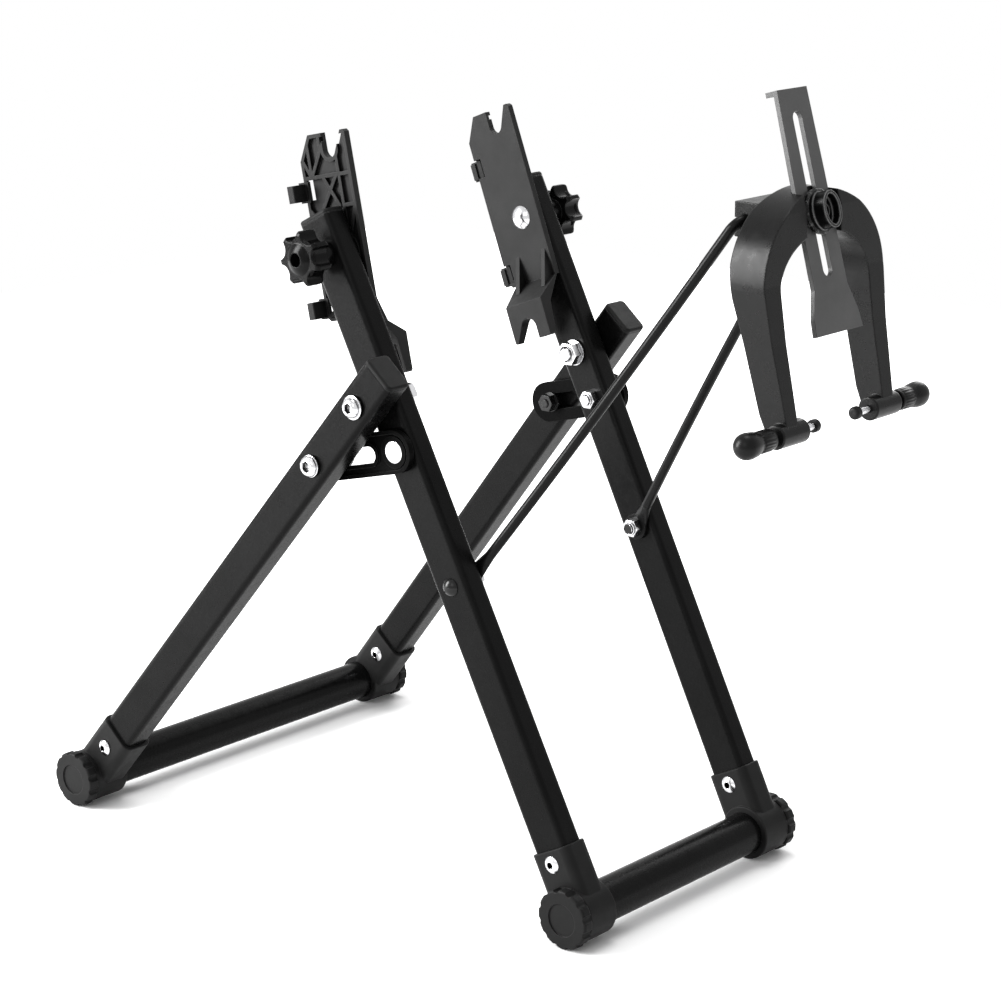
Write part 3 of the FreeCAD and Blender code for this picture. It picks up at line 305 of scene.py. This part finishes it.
# ---- mesh pieces --------------------------------------------------------------
def add(name, points, faces, body, look):
    """Make a piece from its mesh and let it ride on a body."""
    mesh = bpy.data.meshes.new(name)
    mesh.from_pydata(points, [], faces)
    mesh.materials.append(look)
    work = bmesh.new()
    work.from_mesh(mesh)
    bmesh.ops.recalc_face_normals(work, faces=work.faces)
    work.to_mesh(mesh)
    work.free()
    mesh.polygons.foreach_set("use_smooth", [True] * len(mesh.polygons))
    mesh.set_sharp_from_angle(angle=SHARP)
    obj = bpy.data.objects.new(name, mesh)
    bpy.context.scene.collection.objects.link(obj)
    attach(obj, body)
    return obj


def centre_of(node):
    """Y and Z of the middle of a node."""
    low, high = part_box(node)
    return (low.y + high.y) / 2, (low.z + high.z) / 2


def reach_of(node):
    """Distances of a node's inner and outer end from the middle of the stand."""
    low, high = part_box(node)
    return sorted((abs(low.x), abs(high.x)))


def at(x, centre, radius, angle):
    """Point on a circle about an axis along X."""
    return x, centre[0] + radius * math.cos(angle), centre[1] + radius * math.sin(angle)


def thread(name, x0, x1, centre, radius, pitch, body):
    """Helical ridge along X on a shank, from x0 to x1."""
    steps = 24
    depth = pitch * CREST
    count = int(steps * (x1 - x0) / pitch) + steps
    points = []
    for i in range(count + 1):
        angle = 2 * math.pi * i / steps
        for shift, grow in ((-0.5, ROOT), (0.0, 1.0), (0.5, ROOT)):
            x = x0 + pitch * (i / steps + shift)
            inside = x0 <= x <= x1
            r = radius + depth * (grow if inside else ROOT)
            points.append(at(min(max(x, x0), x1), centre, r, angle))
    faces = []
    for i in range(count):
        for k in (0, 1):
            a = 3 * i + k
            faces.append((a, a + 1, a + 4, a + 3))
    return add(name, points, faces, body, ZINC)


def lathe(name, profile, centre, body, look):
    """Closed (x, radius) profile turned about an axis along X."""
    steps = 48
    points = []
    for i in range(steps):
        angle = 2 * math.pi * i / steps
        points += [at(x, centre, r, angle) for x, r in profile]
    size = len(profile)
    faces = []
    for i in range(steps):
        for k in range(size):
            a = i * size + k
            b = i * size + (k + 1) % size
            c = ((i + 1) % steps) * size
            faces.append((a, b, c + (k + 1) % size, c + k))
    return add(name, points, faces, body, look)


def ring_radius(radius, angle, shape):
    """Radius at an angle: of a round ring, a hexagon of this half width, or knurls."""
    if shape == HEXAGON:
        return radius / math.cos((angle + math.pi / 6) % (math.pi / 3) - math.pi / 6)
    if shape == ROUND:
        return radius
    return radius * (1 - KNURL_DEPTH * (1 + math.cos(shape * angle)))


def turned(name, rings, centre, sign, body, look):
    """Solid along X through (x, radius, shape) rings, closed by its two end faces."""
    steps = 96
    points = []
    for x, radius, shape in rings:
        for i in range(steps):
            angle = 2 * math.pi * i / steps
            points.append(at(sign * x, centre, ring_radius(radius, angle, shape), angle))
    faces = [tuple(range(steps)), tuple(range(len(points) - steps, len(points)))]
    for k in range(len(rings) - 1):
        for i in range(steps):
            a, b = k * steps + i, k * steps + (i + 1) % steps
            faces.append((a, b, b + steps, a + steps))
    return add(name, points, faces, body, look)


# ---- fasteners and knobs ------------------------------------------------------
def lock_nut(name, side, nut, bolt, radius, flats, pitch, proud=0.0):
    """Crimped collar, nylon ring and thread on the inboard face of a nut."""
    centre = centre_of(nut + side)
    sign = 1 if side == "_right" else -1
    end = sign * reach_of(bolt + side)[0]
    face = sign * (reach_of(nut + side)[0] + proud)
    wide = flats * COLLAR
    hole = radius + NYLON_PLAY
    lip = hole + NYLON_WALL

    def up(share):
        return face - sign * COLLAR_RISE * share

    collar = [(face, wide), (up(0.6), wide - COLLAR_EDGE), (up(1.0), wide - COLLAR_TAPER),
              (up(0.8), lip), (face, lip)]
    ring = [(face, lip), (up(0.75), lip), (up(0.75), hole), (face, hole)]
    lathe(name + "_collar" + side, collar, centre, "front_frame", ZINC)
    lathe(name + "_ring" + side, ring, centre, "front_frame", NYLON)
    start, stop = sorted((face, end))
    thread(name + "_thread" + side, start, stop, centre, radius, pitch, "front_frame")


def socket_bolt(bolt, side, sign, body, head, shank, shank_look):
    """Button head with a hex socket, on its washer and shank, in place of a CAD bolt."""
    node = bolt + side
    centre = centre_of(node)
    inner, outer = reach_of(node)
    seat = outer - head["depth"]
    foot = seat + WASHER_T
    top = foot + head["height"]
    washer, socket = head["washer"], head["socket"]
    rings = [(seat, washer - WASHER_EDGE, ROUND), (seat + WASHER_EDGE, washer, ROUND),
             (foot - WASHER_EDGE, washer, ROUND), (foot, washer - WASHER_BEVEL, ROUND),
             (foot, head["radius"], ROUND)]
    rings += [(foot + share * head["height"], head["radius"] - cut, ROUND)
              for share, cut in CROWN]
    down, inward = SOCKET_DISH
    rings += [(top, socket + SOCKET_EDGE, HEXAGON), (top - SOCKET_EDGE, socket, HEXAGON),
              (top - SOCKET_DEPTH, socket, HEXAGON),
              (top - SOCKET_DEPTH - down, socket - inward, HEXAGON)]
    whole = turned(node + "_head", rings, centre, sign, body, ZINC)
    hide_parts(node)
    rod = [(inner, shank - END_BEVEL, ROUND), (inner + END_BEVEL, shank, ROUND),
           (seat, shank, ROUND)]
    turned(node + "_shank", rod, centre, sign, body, shank_look)


def thumb_knob(side, sign):
    """Round end on a knurled waist, in place of the plain CAD knob."""
    node = "lateral_knob" + side
    start, end = reach_of(node)
    rings = [(start + along, radius, shape) for along, radius, shape in WAIST]
    dome = end - BALL_DOME
    rings.append((dome - BALL_BAND, BALL_R, ROUND))
    for i in range(1, DOME_RINGS + 1):
        angle = i * math.pi / (2 * DOME_RINGS + 2)
        rings.append((dome + BALL_DOME * math.sin(angle), BALL_R * math.cos(angle), ROUND))
    body = side[1:] + "_screw"
    knob = turned("thumb_knob" + side, rings, centre_of(node), sign, body, THUMB)
    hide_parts(node)


def feeler_screw(side, sign):
    """Threaded rod from the feeler tip to its knob, in place of the plain CAD screw."""
    node = "lateral_screw" + side
    inner, outer = reach_of(node)
    tip = reach_of("lateral_tip" + side)[1]
    knob = reach_of("lateral_knob" + side)[0]
    centre = centre_of(node)
    body = side[1:] + "_screw"
    rings = [(inner, M4_CORE - SCREW_BEVEL, ROUND), (inner + SCREW_BEVEL, M4_CORE, ROUND),
             (outer, M4_CORE, ROUND)]
    rod = turned("feeler_screw" + side, rings, centre, sign, body, ZINC)
    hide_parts(node)
    start, end = sorted((sign * (tip + SCREW_GAP), sign * (knob - SCREW_GAP)))
    thread("feeler_thread" + side, start, end, centre, M4_CORE, M4_PITCH, body)


def fasteners():
    for side, sign in SIDES:
        lock_nut("pivot", side, "pivot_nut", "pivot_bolt", M8, M8_NUT, M8_PITCH)
        lock_nut("arm", side, "arm_nut", "arm_bolt", M6, M6_NUT, M6_PITCH)
        lock_nut("link", side, "link_bolt", "link_bolt", M6, M6_NUT, M6_PITCH, LINK_NUT_END)
        feeler_screw(side, sign)
        thumb_knob(side, sign)
        socket_bolt("pivot_bolt", side, sign, "front_frame", PIVOT_HEAD, M8, ZINC)
        socket_bolt("stop_bolt", side, sign, "rear_frame", STOP_HEAD, PIN, OXIDE)


# ---- floor, light and camera --------------------------------------------------
def is_seen(s):
    """1 for a ray that shows the background itself: camera, mirror or glass."""
    path = s.node("ShaderNodeLightPath")
    total = path.outputs["Is Camera Ray"]
    for name in ("Is Glossy Ray", "Is Transmission Ray"):
        total = s.math("MAXIMUM", total, path.outputs[name])
    return total


def world():
    """White to see, and a softer white to be lit by."""
    made = bpy.data.worlds.new("studio")
    bpy.context.scene.world = made
    s = Shader(made, "ShaderNodeOutputWorld")
    seen = s.feed(s.node("ShaderNodeBackground"), Color=WHITE)
    lit = s.feed(s.node("ShaderNodeBackground"), Color=WHITE, Strength=WORLD_LIGHT)
    mix = s.feed(s.node("ShaderNodeMixShader"), i0=is_seen(s), i1=lit.outputs[0],
                 i2=seen.outputs[0])
    s.finish(mix.outputs[0])


def floor():
    """Pale floor that is seen as white; near the stand it keeps the lamps' shadow and gets a
    painted contact shadow where nearby pieces take its glow away.
    """
    size = FLOOR_HALF
    mesh = bpy.data.meshes.new("floor")
    mesh.from_pydata([(-size, -size, 0), (size, -size, 0), (size, size, 0), (-size, size, 0)],
                     [], [(0, 1, 2, 3)])
    obj = bpy.data.objects.new("floor", mesh)
    bpy.context.scene.collection.objects.link(obj)
    obj.location.z = -FLOOR_DROP
    s = Shader(bpy.data.materials.new("floor"))
    paper = s.feed(s.node("ShaderNodeBsdfDiffuse"), Color=grey(PAPER))
    away = s.feed(s.node("ShaderNodeVectorMath", operation="LENGTH"), i0=s.coordinates)
    far = s.spread(away.outputs["Value"], 0.0, FAR_GLOW, FAR_FROM, FAR_TO)
    # painted contact shadow: the glow is taken away where pieces stand near
    glow_with_painted_shadow = s.spread(s.open_sky(CONTACT_SHADOW_REACH, 8), 0.0, NEAR_GLOW, 0.35, 0.95)
    lift = s.math("MULTIPLY", is_seen(s), s.math("ADD", glow_with_painted_shadow, far))
    glow = s.feed(s.node("ShaderNodeEmission"), Strength=lift)
    both = s.feed(s.node("ShaderNodeAddShader"), i0=paper.outputs[0], i1=glow.outputs[0])
    mesh.materials.append(s.finish(both.outputs[0]))


def lamp(name, place, target, size, power):
    data = bpy.data.lights.new(name, "AREA")
    data.shape = "RECTANGLE"
    data.size, data.size_y = size
    data.energy = power
    obj = bpy.data.objects.new(name, data)
    obj.location = place
    obj.rotation_euler = (Vector(target) - Vector(place)).to_track_quat("-Z", "Y").to_euler()
    obj.visible_camera = False
    bpy.context.scene.collection.objects.link(obj)


def camera():
    data = bpy.data.cameras.new("camera")
    data.sensor_width = SENSOR
    data.lens = CAMERA_LENS
    data.clip_start = 0.05
    obj = bpy.data.objects.new("camera", data)
    obj.location = CAMERA_AT
    obj.rotation_euler = [math.radians(angle) for angle in CAMERA_TURN]
    bpy.context.scene.collection.objects.link(obj)
    bpy.context.scene.camera = obj


bpy.context.scene.view_settings.view_transform = "Standard"
camera()
world()
floor()
for settings in LAMPS:
    lamp(*settings)
dress()
fasteners()
